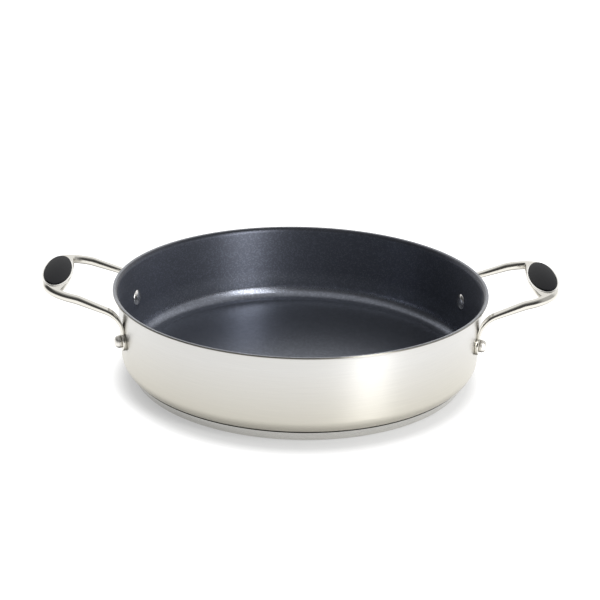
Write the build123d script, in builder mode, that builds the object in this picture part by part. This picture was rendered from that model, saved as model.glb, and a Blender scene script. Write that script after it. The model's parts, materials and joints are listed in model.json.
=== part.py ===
"""Shallow two-handled pan: drawn shell, nonstick lining, capsule base, cast loop handles, pads and rivets.

Millimetres, +Z up. The origin is the centre of the base's underside, and +X runs through the right handle.
"""

import os
from math import acos, asin, atan2, cos, degrees, radians, sin, sqrt, tan

from build123d import *

# Pan shell: driving dimensions
rim_radius = 150.0  # outer edge of the flared lip, a 30 cm pan
rim_height = 72.7  # top of the lip above the worktop
sheet = 0.8  # drawn stainless sheet
lip_curl_radius = 3.0  # underside of the flare
lip_land = 0.5  # short flat at the end of the flare
wall_taper = 2.6  # degrees that the wall leans outwards
corner_radius = 13.0  # outside of the rounded bottom corner

# Nonstick lining
coat = 0.25  # stand-in thickness of the coating

# Capsule base
base_height = 7.2  # underside of the shell above the worktop
mouth_reach = 6.7  # from where the bottom corner starts out to the capsule's mouth, at the groove
cap_sheet = 0.5
cap_side_angle = 25.0  # degrees that the capsule's side leans out
cap_edge_radius = 3.0
cap_lip_chamfer = 0.3

# Fits
film = 0.02  # bond line between layers that are stuck or coated on one another
rivet_clearance = 0.05  # radial, rivet shank in its holes
pad_clearance = 0.1  # pad in its seat, all round
overrun = 5.0  # how far every cutting tool runs past what it cuts

# Feet and rivets, on the tapered wall
foot_half_spacing = 47.2  # rivet axis to the pan's centre plane
rivet_drop = 31.7  # rivet axis below the rim
foot_radius = 7.6
foot_thickness = 2.6
foot_edge_radius = 0.7
shank_radius = 3.0
inner_head_radius = 6.8
inner_head_height = 2.0
inner_head_edge_share = 0.25  # upright part of that height
outer_head_radius = 4.9
outer_head_height = 5.0
outer_head_edge_radius = 1.8

# Grip: the flat end of the loop, on a plane that rises away from the pan
grip_reach = 47.7  # wall top to the middle of the pad seat
grip_rise = 8.5  # rim to the top of the pad seat
grip_tilt = 11.5  # degrees
grip_depth = 6.3
grip_edge_radius = 0.7
grip_belly_radius = 2.8
shoulder_half_spacing = 44.7  # arm centre line where it joins the grip
shoulder_setback = 19.0  # that joint, measured back from the middle of the pad seat
shoulder_radius = 35.0
shoulder_heading = 30.0  # degrees that the outline has turned where the grip's corner starts
grip_corner_radius = 25.0
grip_corner_heading = 76.0
bar_back_reach = 12.0  # middle of the pad seat to the finger side of the bar
bar_back_radius = 180.0
crotch_radius = 1.2

# Pad and its seat
pad_half_width = 9.9
pad_half_length = 32.5
seat_depth = 3.0
pad_stand = 1.4  # edge of the pad above the grip's top
pad_crown = 2.6
pad_edge_radius = 0.7

# Arms, from the feet up to the grip
arm_width = 6.6
bend_rise = 20.5  # rivet axis to the corner that the lower bend rounds off
bend_radius = 18.0
knee_setback = 3.0  # joint with the grip to the corner that the upper bend rounds off
knee_radius = 26.0
mid_thickness_share = 0.85  # of the grip's depth, halfway along the arm
bend_thickness_share = 0.72
bend_station_shares = (1 / 3, 2 / 3, 1)  # along the lower bend
belly_share = 0.43  # largest belly radius, of the arm's thickness there
strap_width = 7.2


# Shell profile: centres of the lip's and the corner's arcs, with the tapered wall as their common tangent
taper = radians(wall_taper)
lip_centre = Vector(rim_radius - lip_land, rim_height - coat - film - sheet - lip_curl_radius)
wall_normal = Vector(cos(taper), -sin(taper))
wall_line = wall_normal.dot(lip_centre) - lip_curl_radius
corner_centre_z = base_height + corner_radius
corner_centre_radius = (wall_line - corner_radius + corner_centre_z * sin(taper)) / cos(taper)
corner_centre = Vector(corner_centre_radius, corner_centre_z)


def wall_radius(z: float) -> float:
    """Outer radius of the tapered wall at a height."""
    return (wall_line + z * sin(taper)) / cos(taper)


def corner_height(radius: float, gap: float = 0) -> float:
    """Height of the bottom corner's outside at a radius, or of a surface that hangs a gap below it."""
    return corner_centre.Y - sqrt((corner_radius + gap) ** 2 - (radius - corner_centre.X) ** 2)


def shell_curve(depth: float) -> None:
    """Draws floor, corner, wall, flare and land as one chain, a depth inside the shell's outer face."""
    Line((0, base_height + depth), (corner_centre.X, base_height + depth))
    CenterArc(corner_centre, corner_radius - depth, -90, 90 - wall_taper)
    wall_foot = corner_centre + wall_normal * (corner_radius - depth)
    Line(wall_foot, lip_centre - wall_normal * (lip_curl_radius + depth))
    CenterArc(lip_centre, lip_curl_radius + depth, 90, 90 - wall_taper)
    lip_z = lip_centre.Y + lip_curl_radius + depth
    Line((lip_centre.X, lip_z), (rim_radius, lip_z))


def layer_ends(inside: float, outside: float) -> None:
    """Closes a layer between two shell curves, on the pan's axis and at the lip's edge."""
    lip_z = lip_centre.Y + lip_curl_radius
    Line((0, base_height + inside), (0, base_height + outside))
    Line((rim_radius, lip_z + inside), (rim_radius, lip_z + outside))


# Rivet axes: one plane per rivet on the wall's outer face, z_dir along the wall's normal
rivet_z = rim_height - rivet_drop
rivet_wall_radius = wall_radius(rivet_z)
rivet_angle = degrees(atan2(foot_half_spacing, sqrt(rivet_wall_radius**2 - foot_half_spacing**2)))


def wall_plane(angle: float) -> Plane:
    """Plane on the wall's outer face at a rivet, its z axis pointing out and its y axis up the wall."""
    around = Axis.Z
    origin = Vector(rivet_wall_radius, 0, rivet_z).rotate(around, angle)
    sideways = Vector(0, 1, 0).rotate(around, angle)
    outwards = Vector(wall_normal.X, 0, wall_normal.Y).rotate(around, angle)
    return Plane(origin=origin, x_dir=sideways, z_dir=outwards)


right_rivets = [wall_plane(rivet_angle), wall_plane(-rivet_angle)]
all_rivets = right_rivets + [wall_plane(180 + rivet_angle), wall_plane(180 - rivet_angle)]

# Pan shell: one revolved sheet, drilled for the rivets
with BuildPart() as pan_shell:
    with BuildSketch(Plane.XZ):
        with BuildLine():
            shell_curve(0)
            shell_curve(sheet)
            layer_ends(0, sheet)
        make_face()
    revolve(axis=Axis.Z)
    with Locations(*all_rivets):
        Cylinder(shank_radius + rivet_clearance, overrun * 2, mode=Mode.SUBTRACT)

# Nonstick lining: a skin on the floor, the wall and the top of the flare
lining_depth = sheet + film
with BuildPart() as nonstick_lining:
    with BuildSketch(Plane.XZ):
        with BuildLine():
            shell_curve(lining_depth)
            shell_curve(lining_depth + coat)
            layer_ends(lining_depth, lining_depth + coat)
        make_face()
    revolve(axis=Axis.Z)
    with Locations(*all_rivets):
        Cylinder(shank_radius + rivet_clearance, overrun * 2, mode=Mode.SUBTRACT)

# Capsule base: its side leans out and stops under the shell's rounded corner
lean = radians(cap_side_angle)
base_radius = corner_centre.X + mouth_reach
cap_top = corner_height(base_radius - cap_sheet / cos(lean), film)


def side_radius(z: float, depth: float = 0) -> float:
    """Radius of the capsule's side at a height, a depth inside its outer face."""
    return base_radius - (cap_top - z) * tan(lean) - depth / cos(lean)


# Base core: aluminium disc, its edge swept up under the shell's rounded corner
core_inset = cap_sheet + film
core_radius = side_radius(cap_top, core_inset)
core_turn = degrees(asin((core_radius - corner_centre.X) / (corner_radius + film)))
with BuildPart() as base_core:
    with BuildSketch(Plane.XZ) as core_section:
        with BuildLine():
            swept = CenterArc(corner_centre, corner_radius + film, -90, core_turn)
            core_foot = (side_radius(core_inset, core_inset), core_inset)
            Polyline(swept @ 1, core_foot, (0, core_inset), (0, base_height - film), swept @ 0)
        make_face()
        outer_corner = core_section.vertices().group_by(Axis.Y)[0].sort_by(Axis.X)[-1]
        fillet(outer_corner, cap_edge_radius - core_inset)
    revolve(axis=Axis.Z)

# Base cap: pressed stainless capsule, its chamfered mouth leaves the groove under the wall
with BuildPart() as base_cap:
    with BuildSketch(Plane.XZ) as cap_section:
        with BuildLine():
            mouth = (side_radius(cap_top, cap_sheet), cap_top)
            inner_foot = (side_radius(cap_sheet, cap_sheet), cap_sheet)
            Polyline((0, cap_sheet), (0, 0), (side_radius(0), 0), (base_radius, cap_top))
            Polyline((base_radius, cap_top), mouth, inner_foot, (0, cap_sheet))
        make_face()
        levels = cap_section.vertices().group_by(Axis.Y)
        outer_corner, inner_corner, mouth_edge = (level.sort_by(Axis.X)[-1] for level in levels)
        fillet(outer_corner, cap_edge_radius)
        fillet(inner_corner, cap_edge_radius - cap_sheet)
        chamfer(mouth_edge, cap_lip_chamfer)
    revolve(axis=Axis.Z)

# Grip plane: on top of the pad seat, x outwards along its rise, y along the pan's Y
wall_top_radius = wall_radius(lip_centre.Y)
grip_plane = Plane(
    origin=(wall_top_radius + grip_reach, 0, rim_height + grip_rise),
    x_dir=Vector(1, 0, 0).rotate(Axis.Y, -grip_tilt),
    z_dir=Vector(0, 0, 1).rotate(Axis.Y, -grip_tilt),
)
grip_axis = Axis(grip_plane.origin, grip_plane.z_dir)

# Arm path on its centre line: foot, corner over the foot, corner before the grip, joint with the grip
foot_plane = right_rivets[0]
rivet_axis = Axis(foot_plane.origin, foot_plane.z_dir)
foot_point = foot_plane.origin + foot_plane.z_dir * (film + foot_thickness / 2)
bend_corner = foot_point + foot_plane.y_dir * bend_rise
joint_point = grip_plane.from_local_coords(Vector(-shoulder_setback, shoulder_half_spacing, -grip_depth / 2))
arm_plan_heading = atan2(bend_corner.Y - joint_point.Y, joint_point.X - bend_corner.X)
joint_turn = atan2(sin(arm_plan_heading), cos(arm_plan_heading) / cos(radians(grip_tilt)))
joint_direction = grip_plane.x_dir * cos(joint_turn) - grip_plane.y_dir * sin(joint_turn)
knee_corner = joint_point - joint_direction * knee_setback


def rounded_corner(
    before: Vector, corner: Vector, after: Vector, radius: float, share: float
) -> tuple[Vector, Vector]:
    """Point and heading at a share of the arc that rounds off one corner of the arm's path."""
    inward = (corner - before).normalized()
    outward = (after - corner).normalized()
    turn = acos(inward.dot(outward))
    across = (outward - inward * inward.dot(outward)).normalized()
    start = corner - inward * (radius * tan(turn / 2))
    swung = turn * share
    point = start + inward * (radius * sin(swung)) + across * (radius * (1 - cos(swung)))
    return point, inward * cos(swung) + across * sin(swung)


def arm_section(point: Vector, heading: Vector, sideways: Vector, width: float, thickness: float) -> Sketch:
    """Cross-section of the arm: flat top with crisp edges, rounded belly, square to the path."""
    level = sideways - heading * sideways.dot(heading)
    belly_radius = min(grip_belly_radius, belly_share * thickness)
    with BuildSketch(Plane(origin=point, x_dir=level, z_dir=heading)) as section:
        Rectangle(width, thickness)
        fillet(section.vertices().group_by(Axis.Y)[0], belly_radius)
        fillet(section.vertices().group_by(Axis.Y)[-1], grip_edge_radius)
    return section.sketch


arm_sideways = Vector(sin(arm_plan_heading), cos(arm_plan_heading), 0)
foot_sideways = foot_plane.x_dir
bend_path = (foot_point, bend_corner, knee_corner, bend_radius)
knee_path = (bend_corner, knee_corner, joint_point, knee_radius)
bend_end, slope = rounded_corner(*bend_path, 1)
knee_start, _ = rounded_corner(*knee_path, 0)
stations = [
    (foot_point, foot_plane.y_dir, foot_sideways, strap_width, foot_thickness),
    (*rounded_corner(*bend_path, 0), foot_sideways, strap_width, foot_thickness),
]
for share in bend_station_shares:
    thickness = foot_thickness + (grip_depth * bend_thickness_share - foot_thickness) * share
    width = strap_width + (arm_width - strap_width) * share
    sideways = foot_sideways * (1 - share) + arm_sideways * share
    stations.append((*rounded_corner(*bend_path, share), sideways, width, thickness))
middle = (bend_end + knee_start) * (1 / 2)
stations.append((middle, slope, arm_sideways, arm_width, grip_depth * mid_thickness_share))
stations.append((knee_start, slope, arm_sideways, arm_width, grip_depth))
stations.append((*rounded_corner(*knee_path, 1), arm_sideways, arm_width, grip_depth))
stations.append((joint_point, joint_direction, arm_sideways, arm_width, grip_depth))
arm_sections = [arm_section(*station) for station in stations]

with BuildPart() as arm:
    add(arm_sections)
    loft()

# Grip outline: shoulder, corner and end arcs, each tangent to the last, mirrored about the pan's centre plane
shoulder_start = Vector(-shoulder_setback, shoulder_half_spacing)
half_arm = Vector(sin(joint_turn), cos(joint_turn)) * (arm_width / 2)
shoulder_turn = shoulder_heading - degrees(joint_turn)
corner_turn = grip_corner_heading - shoulder_heading
end_turn = 90 - grip_corner_heading
start_tangent = Vector(cos(joint_turn), -sin(joint_turn))
loop_foot = (-shoulder_setback - shoulder_half_spacing * tan(joint_turn), 0)


def loop_edge(inset: float) -> None:
    """Draws half of the loop's edge from the arm's joint to the centre plane, an inset inside its outline."""
    start = shoulder_start + half_arm * (1 - 2 * inset / arm_width)
    shoulder = JernArc(start, start_tangent, shoulder_radius - inset, -shoulder_turn)
    corner = JernArc(shoulder @ 1, shoulder % 1, grip_corner_radius - inset, -corner_turn)
    end_radius = (corner @ 1).Y / sin(radians(end_turn))
    end = JernArc(corner @ 1, corner % 1, end_radius, -end_turn)
    Polyline(end @ 1, loop_foot, shoulder @ 0)


with BuildSketch() as finger_gap:
    with BuildLine():
        loop_edge(arm_width)
    make_face()
    mirror(about=Plane.XZ)
    with Locations((bar_back_radius - bar_back_reach, 0)):
        Circle(bar_back_radius, mode=Mode.SUBTRACT)
    fillet(finger_gap.vertices().group_by(Axis.X)[-1], crotch_radius)

with BuildSketch(grip_plane) as grip_outline:
    with BuildLine():
        loop_edge(0)
    make_face()
    mirror(about=Plane.XZ)
    add(finger_gap.sketch, mode=Mode.SUBTRACT)

# Foot: a round lug, its inner face still flat here
button_seat = film + foot_thickness
with BuildPart() as lug:
    with BuildSketch(foot_plane.offset(-overrun)):
        Circle(foot_radius)
    extrude(amount=overrun + button_seat)
    fillet(lug.edges().group_by(rivet_axis)[-1], foot_edge_radius)

# Handle: grip plate with its belly rounded, both arms, both lugs, cut to the wall, drilled, pad seat sunk
with BuildPart() as handle_right:
    extrude(grip_outline.sketch, amount=-grip_depth)
    plate_edges = handle_right.edges().filter_by(GeomType.LINE, reverse=True)
    fillet(plate_edges.group_by(grip_axis)[0], grip_belly_radius)
    plate_edges = handle_right.faces().sort_by(grip_axis)[-1].edges().filter_by(GeomType.LINE, reverse=True)
    fillet(plate_edges, grip_edge_radius)
    add(arm.part)
    mirror(arm.part, about=Plane.XZ)
    add(lug.part)
    mirror(lug.part, about=Plane.XZ)
    with BuildSketch(Plane.XZ):
        with BuildLine():
            wall_foot = corner_centre + wall_normal * (corner_radius + film)
            wall_head = lip_centre - wall_normal * (lip_curl_radius - film)
            Polyline(wall_foot, wall_head, (0, wall_head.Y), (0, wall_foot.Y), wall_foot)
        make_face()
    revolve(axis=Axis.Z, mode=Mode.SUBTRACT)
    with Locations(*right_rivets):
        Cylinder(shank_radius + rivet_clearance, overrun * 2, mode=Mode.SUBTRACT)
    with Locations(*[plane.offset(button_seat + overrun) for plane in right_rivets]):
        Cylinder(outer_head_radius + rivet_clearance, overrun * 2, mode=Mode.SUBTRACT)
    with BuildSketch(grip_plane):
        Ellipse(pad_half_width + pad_clearance, pad_half_length + pad_clearance)
    extrude(amount=-seat_depth, mode=Mode.SUBTRACT)

# Grip pad: oval plug, its crown a patch of a torus so that its edge stays level all round
crown_radius_across = (pad_half_width**2 + pad_crown**2) / (2 * pad_crown)
crown_radius_along = (pad_half_length**2 + pad_crown**2) / (2 * pad_crown)
pad_top = pad_stand + pad_crown
with BuildPart() as grip_pad_right:
    with BuildSketch(grip_plane.offset(film - seat_depth)):
        Ellipse(pad_half_width, pad_half_length)
    extrude(amount=seat_depth - film + pad_top)
    with BuildSketch(Plane(grip_plane.origin, x_dir=grip_plane.x_dir, z_dir=-grip_plane.y_dir)):
        with Locations((0, pad_top - crown_radius_across)):
            Circle(crown_radius_across)
    crown_centre = grip_plane.origin + grip_plane.z_dir * (pad_top - crown_radius_along)
    revolve(axis=Axis(crown_centre, grip_plane.x_dir), mode=Mode.INTERSECT)
    fillet(grip_pad_right.edges().group_by(grip_axis)[-1], pad_edge_radius)

# Rivet: low dome inside, taller button outside, the inner head's underside shaped to the curved lining
clamped = lining_depth + coat
inner_head_edge = inner_head_height * inner_head_edge_share
button_base = button_seat + film
with BuildPart() as rivet:
    with BuildSketch(Plane(foot_plane.origin, x_dir=foot_plane.x_dir, z_dir=-foot_plane.y_dir)):
        with BuildLine():
            crown = inner_head_height - inner_head_edge
            dome_radius = (inner_head_radius**2 + crown**2) / (2 * crown)
            dome_centre = (0, dome_radius - clamped - inner_head_height)
            dome = CenterArc(dome_centre, dome_radius, -90, degrees(asin(inner_head_radius / dome_radius)))
            Polyline(dome @ 1, (inner_head_radius, 0), (0, 0), dome @ 0)
        make_face()
    revolve(axis=rivet_axis)
    with BuildSketch(Plane.XZ):
        with BuildLine():
            seat_foot = corner_centre + wall_normal * (corner_radius - clamped - film)
            seat_head = lip_centre - wall_normal * (lip_curl_radius + clamped + film)
            Polyline(seat_foot, seat_head, (rim_radius, seat_head.Y), (rim_radius, seat_foot.Y), seat_foot)
        make_face()
    revolve(axis=Axis.Z, mode=Mode.SUBTRACT)
    with BuildSketch(foot_plane.offset(-clamped - inner_head_edge)):
        Circle(shank_radius)
    extrude(amount=clamped + inner_head_edge + button_base + outer_head_height / 2)
    with BuildSketch(foot_plane.offset(button_base)):
        Circle(outer_head_radius)
    extrude(amount=outer_head_height)
    fillet(rivet.edges().group_by(rivet_axis)[-1], outer_head_edge_radius)

with BuildPart() as handle_rivets:
    add(rivet.part)
    mirror(rivet.part, about=Plane.XZ)
    mirror(about=Plane.YZ)

# The left-hand handle and pad are the same castings and mouldings, turned half round
with BuildPart() as handle_left:
    add(handle_right.part.rotate(Axis.Z, 180))

with BuildPart() as grip_pad_left:
    add(grip_pad_right.part.rotate(Axis.Z, 180))

pieces = {
    "pan_shell": pan_shell,
    "nonstick_lining": nonstick_lining,
    "base_core": base_core,
    "base_cap": base_cap,
    "handle_right": handle_right,
    "handle_left": handle_left,
    "grip_pad_right": grip_pad_right,
    "grip_pad_left": grip_pad_left,
    "handle_rivets": handle_rivets,
}
os.makedirs("parts", exist_ok=True)
for name, piece in pieces.items():
    piece.part.label = name
    export_step(piece.part, f"parts/{name}.step")
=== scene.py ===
"""Looks of a shallow two-handled braiser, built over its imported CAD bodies.

Sizes in the classes are millimetres, as in the CAD, and Mesher turns them into the scene's metres. The
frame is the CAD's: the origin under the middle of the base, +Z up, +X through the right-hand handle.
"""

import json
import logging
import math
from dataclasses import dataclass, field
from enum import Enum
from typing import Any, Sequence

import bmesh
import bpy
import numpy as np
from bpy.types import Material, Node, NodeSocket, NodeTree, Object
from mathutils import Matrix, Vector

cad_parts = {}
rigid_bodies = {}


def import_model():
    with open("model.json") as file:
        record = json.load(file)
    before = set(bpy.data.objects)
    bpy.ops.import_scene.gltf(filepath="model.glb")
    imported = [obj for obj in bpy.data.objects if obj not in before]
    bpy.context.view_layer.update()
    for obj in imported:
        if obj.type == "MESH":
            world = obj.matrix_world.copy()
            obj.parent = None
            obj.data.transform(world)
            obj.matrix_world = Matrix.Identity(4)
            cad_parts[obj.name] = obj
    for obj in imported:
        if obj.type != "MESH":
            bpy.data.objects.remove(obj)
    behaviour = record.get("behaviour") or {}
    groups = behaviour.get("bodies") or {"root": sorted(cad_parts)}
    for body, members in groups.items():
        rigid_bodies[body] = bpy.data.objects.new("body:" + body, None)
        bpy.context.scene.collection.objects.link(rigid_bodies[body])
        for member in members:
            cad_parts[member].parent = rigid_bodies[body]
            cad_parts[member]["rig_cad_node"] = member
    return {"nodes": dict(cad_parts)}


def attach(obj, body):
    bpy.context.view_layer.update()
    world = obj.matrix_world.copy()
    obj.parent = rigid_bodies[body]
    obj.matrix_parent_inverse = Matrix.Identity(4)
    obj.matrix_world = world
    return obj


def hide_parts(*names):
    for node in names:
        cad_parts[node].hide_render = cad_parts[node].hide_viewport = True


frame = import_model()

MM = 0.001
log = logging.getLogger("braiser")

Point = tuple[float, float]
Point3 = tuple[float, float, float]
Faces = list[tuple[int, ...]]
Source = Node | NodeSocket  # a node stands for its first output


class Side(Enum):
    """Which end of the pan a handle is on, as a sign along X."""

    RIGHT = 1
    LEFT = -1

    @property
    def word(self) -> str:
        """The side's name as the CAD nodes spell it."""
        return self.name.lower()


def linear(hex_colour: str) -> tuple[float, float, float, float]:
    """Turns an sRGB hex colour into the linear colour that a shader socket takes.

    Args:
        hex_colour: Colour as "#rrggbb".

    Returns:
        Linear red, green, blue and an alpha of 1.
    """
    channels = [int(hex_colour[i : i + 2], 16) / 255 for i in (1, 3, 5)]
    r, g, b = (c / 12.92 if c <= 0.04045 else ((c + 0.055) / 1.055) ** 2.4 for c in channels)
    return r, g, b, 1.0


def wire(node: Node, links: dict[Any, Source]) -> Node:
    """Feeds a node's inputs.

    Args:
        node: Node that takes the values.
        links: Sources by the name or index of the input that they feed.

    Returns:
        The same node.
    """
    for key, source in links.items():
        socket = source.outputs[0] if isinstance(source, Node) else source
        node.id_data.links.new(socket, node.inputs[key])
    return node


def add_node(
    tree: NodeTree, kind: str, settings: dict[Any, Any] | None = None, links: dict[Any, Source] | None = None
) -> Node:
    """Adds one shader node to a tree, sets it up and wires its inputs.

    Args:
        tree: Node tree that takes the node.
        kind: Blender's type name of the node, after "ShaderNode".
        settings: Values by input name or index, or by property name; "stops" holds a colour ramp's
            positions with their linear colours, in rising order.
        links: Sources by the name or index of the input that they feed.

    Returns:
        The new node.
    """
    node = tree.nodes.new("ShaderNode" + kind)
    for key, value in (settings or {}).items():
        if key == "stops":
            elements = node.color_ramp.elements
            while len(elements) < len(value):
                elements.new(0.5)
            for element, (place, colour) in zip(elements, value):
                element.position, element.color = place, colour
        elif isinstance(key, str) and hasattr(node, key):
            setattr(node, key, value)
        else:
            node.inputs[key].default_value = value
    return wire(node, links or {})


def by_height(tree: NodeTree, height: Source, stops: Sequence[tuple[float, str]]) -> Node:
    """Adds nodes that colour a surface by its height.

    Args:
        tree: Material's node tree.
        height: Height in metres.
        stops: Heights in millimetres with their sRGB hex colours, in rising order.

    Returns:
        The ramp that holds the colour.
    """
    low, high = stops[0][0], stops[-1][0]
    share = add_node(tree, "MapRange", {"From Min": low * MM, "From Max": high * MM}, {"Value": height})
    colours = [((level - low) / (high - low), linear(colour)) for level, colour in stops]
    return add_node(tree, "ValToRGB", {"stops": colours}, {0: share})


def position(tree: NodeTree) -> tuple[Source, dict[str, Source]]:
    """Adds nodes for the place on the object, in metres.

    Args:
        tree: Material's node tree.

    Returns:
        The place as a vector, and its parts by the names X, Y and Z.
    """
    place = add_node(tree, "TexCoord").outputs["Object"]
    parts = add_node(tree, "SeparateXYZ", links={0: place})
    return place, {name: parts.outputs[name] for name in "XYZ"}


def around_axis(tree: NodeTree, turn_scale: float, across_mm: float) -> Node:
    """Coordinates for lines that run round the pan's axis, as spinning it against a belt leaves them.

    Args:
        tree: Material's node tree.
        turn_scale: Scratches in one radian.
        across_mm: Spacing of the scratches.

    Returns:
        A vector for a noise texture of scale 1.
    """
    _, parts = position(tree)
    turn = add_node(tree, "Math", {"operation": "ARCTAN2"}, {0: parts["Y"], 1: parts["X"]})
    flat = add_node(tree, "CombineXYZ", links={0: parts["X"], 1: parts["Y"]})
    reach = add_node(tree, "VectorMath", {"operation": "LENGTH"}, {0: flat}).outputs["Value"]
    per_metre = 1 / (across_mm * MM)
    scaled = [
        add_node(tree, "Math", {"operation": "MULTIPLY", 1: scale}, {0: value})
        for value, scale in ((turn, turn_scale), (reach, per_metre), (parts["Z"], per_metre))
    ]
    return add_node(tree, "CombineXYZ", links=dict(enumerate(scaled)))


def draw_upright(shader: Node) -> None:
    """Turns a shader's anisotropy so that lines round the pan pull its highlights upright.

    Args:
        shader: The Principled shader.
    """
    shader.inputs["Anisotropic Rotation"].default_value = 0.25
    tangent = add_node(shader.id_data, "Tangent", {"direction_type": "RADIAL", "axis": "Z"})
    wire(shader, {"Tangent": tangent})


def vary_gloss(shader: Node, pattern: Source, low: float, high: float) -> None:
    """Lets a pattern take a shader's roughness from low to high."""
    ends = {"To Min": low, "To Max": high}
    wire(shader, {"Roughness": add_node(shader.id_data, "MapRange", ends, {"Value": pattern})})


def raise_surface(shader: Node, pattern: Source, strength: float, depth_mm: float) -> None:
    """Lets a pattern raise a shader's surface."""
    settings = {"Strength": strength, "Distance": depth_mm * MM}
    wire(shader, {"Normal": add_node(shader.id_data, "Bump", settings, {"Height": pattern})})


@dataclass(frozen=True)
class Finish:
    """A material made from what the real surface is and how it was finished."""

    name: str
    slot: str

    def dress(self, shader: Node, tree: NodeTree) -> None:
        """Sets the shader's sockets and adds the pattern nodes; each finish has its own."""
        raise NotImplementedError

    def material(self) -> Material:
        """Makes the material once and reuses it after that.

        Returns:
            The Blender material.
        """
        known = bpy.data.materials.get(self.name)
        if known:
            return known
        made = bpy.data.materials.new(self.name)
        made.use_nodes = True
        self.dress(made.node_tree.nodes["Principled BSDF"], made.node_tree)
        return made


@dataclass(frozen=True)
class BrushedStainless(Finish):
    """18/10 stainless sheet spun against a belt: fine lines round the pan, highlights drawn upright."""

    name: str = "brushed_18_10_stainless"
    slot: str = "shell_steel"
    upper: str = "#d0cfcc"
    lower: str = "#c2beb2"  # painted reflection: the foot of the wall is coloured darker and warmer, as it looks where it mirrors the worktop
    roughness: float = 0.34
    roughness_spread: float = 0.07
    anisotropy: float = 0.75
    scratch_spacing_mm: float = 0.7  # real grit leaves about 0.1 mm; coarser here so that it shows
    scratches_per_radian: float = 5.0
    scratch_depth_mm: float = 0.02
    scratch_strength: float = 0.12
    streaks: Point = (0.9, 1.06)  # darkest and palest scratch, as shares of the steel's colour
    low_mm: float = 12.0
    high_mm: float = 60.0
    edge_from_mm: float = 71.5  # the trimmed edge above this is painted a darker grey, a painted shade line under the lip
    edge_blur_mm: float = 0.1
    edge_colour: str = "#8a877f"

    def dress(self, shader: Node, tree: NodeTree) -> None:
        """Adds the painted reflection at the warmer foot of the wall, the painted shade on the trimmed edge,
        the scratches and the upright highlights.

        Args:
            shader: The Principled shader.
            tree: Its node tree.
        """
        shader.inputs["Metallic"].default_value = 1.0
        shader.inputs["Anisotropic"].default_value = self.anisotropy
        draw_upright(shader)
        lines = {"Vector": around_axis(tree, self.scratches_per_radian, self.scratch_spacing_mm)}
        noise = add_node(tree, "TexNoise", {"Scale": 1.0, "Detail": 3.0, "Roughness": 0.6}, lines)
        scratches = noise.outputs["Fac"]
        spread = self.roughness_spread
        vary_gloss(shader, scratches, self.roughness - spread, self.roughness + spread)
        raise_surface(shader, scratches, self.scratch_strength, self.scratch_depth_mm)
        stops = [(self.low_mm, self.lower), (self.high_mm, self.upper), (self.edge_from_mm, self.upper)]
        # the darker grey above edge_from_mm is painted shade
        stops.append((self.edge_from_mm + self.edge_blur_mm, self.edge_colour))
        tint = by_height(tree, position(tree)[1]["Z"], stops)
        ends = {"To Min": self.streaks[0], "To Max": self.streaks[1]}
        streak = add_node(tree, "MapRange", ends, {"Value": scratches})
        colour = add_node(tree, "VectorMath", {"operation": "SCALE"}, {0: tint, "Scale": streak})
        wire(shader, {"Base Color": colour})


@dataclass(frozen=True)
class PolishedCastSteel(Finish):
    """Cast stainless, tumbled and buffed: near mirror, with a buffing wheel's soft waves."""

    name: str = "polished_cast_stainless"
    slot: str = "cast_steel"
    colour: str = "#d9d6ce"
    roughness: float = 0.15
    roughness_spread: Point = (0.03, 0.04)
    wave_mm: float = 6.0
    wave_depth_mm: float = 0.05
    wave_strength: float = 0.15
    under_colour: str = "#6a675f"  # painted shade on the surfaces that face down
    under_tilt: Point = (-0.65, -0.3)  # height of the surface's normal where the painted shade starts and ends

    def dress(self, shader: Node, tree: NodeTree) -> None:
        """Adds painted shade on the underside, and a little unevenness in polish and surface.

        Args:
            shader: The Principled shader.
            tree: Its node tree.
        """
        shader.inputs["Metallic"].default_value = 1.0
        facing = add_node(tree, "NewGeometry").outputs["Normal"]
        upward = add_node(tree, "SeparateXYZ", links={0: facing}).outputs["Z"]
        ends = {"From Min": self.under_tilt[0], "From Max": self.under_tilt[1]}
        unshaded = add_node(tree, "MapRange", ends, {"Value": upward})
        colours = [(0.0, linear(self.under_colour)), (1.0, linear(self.colour))]
        tint = add_node(tree, "ValToRGB", {"stops": colours}, {0: unshaded})
        wire(shader, {"Base Color": tint})
        pattern = {"Scale": 1 / (self.wave_mm * MM), "Detail": 2.0}
        waves = add_node(tree, "TexNoise", pattern, {"Vector": position(tree)[0]}).outputs["Fac"]
        less, more = self.roughness_spread
        vary_gloss(shader, waves, self.roughness - less, self.roughness + more)
        raise_surface(shader, waves, self.wave_strength, self.wave_depth_mm)


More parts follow.
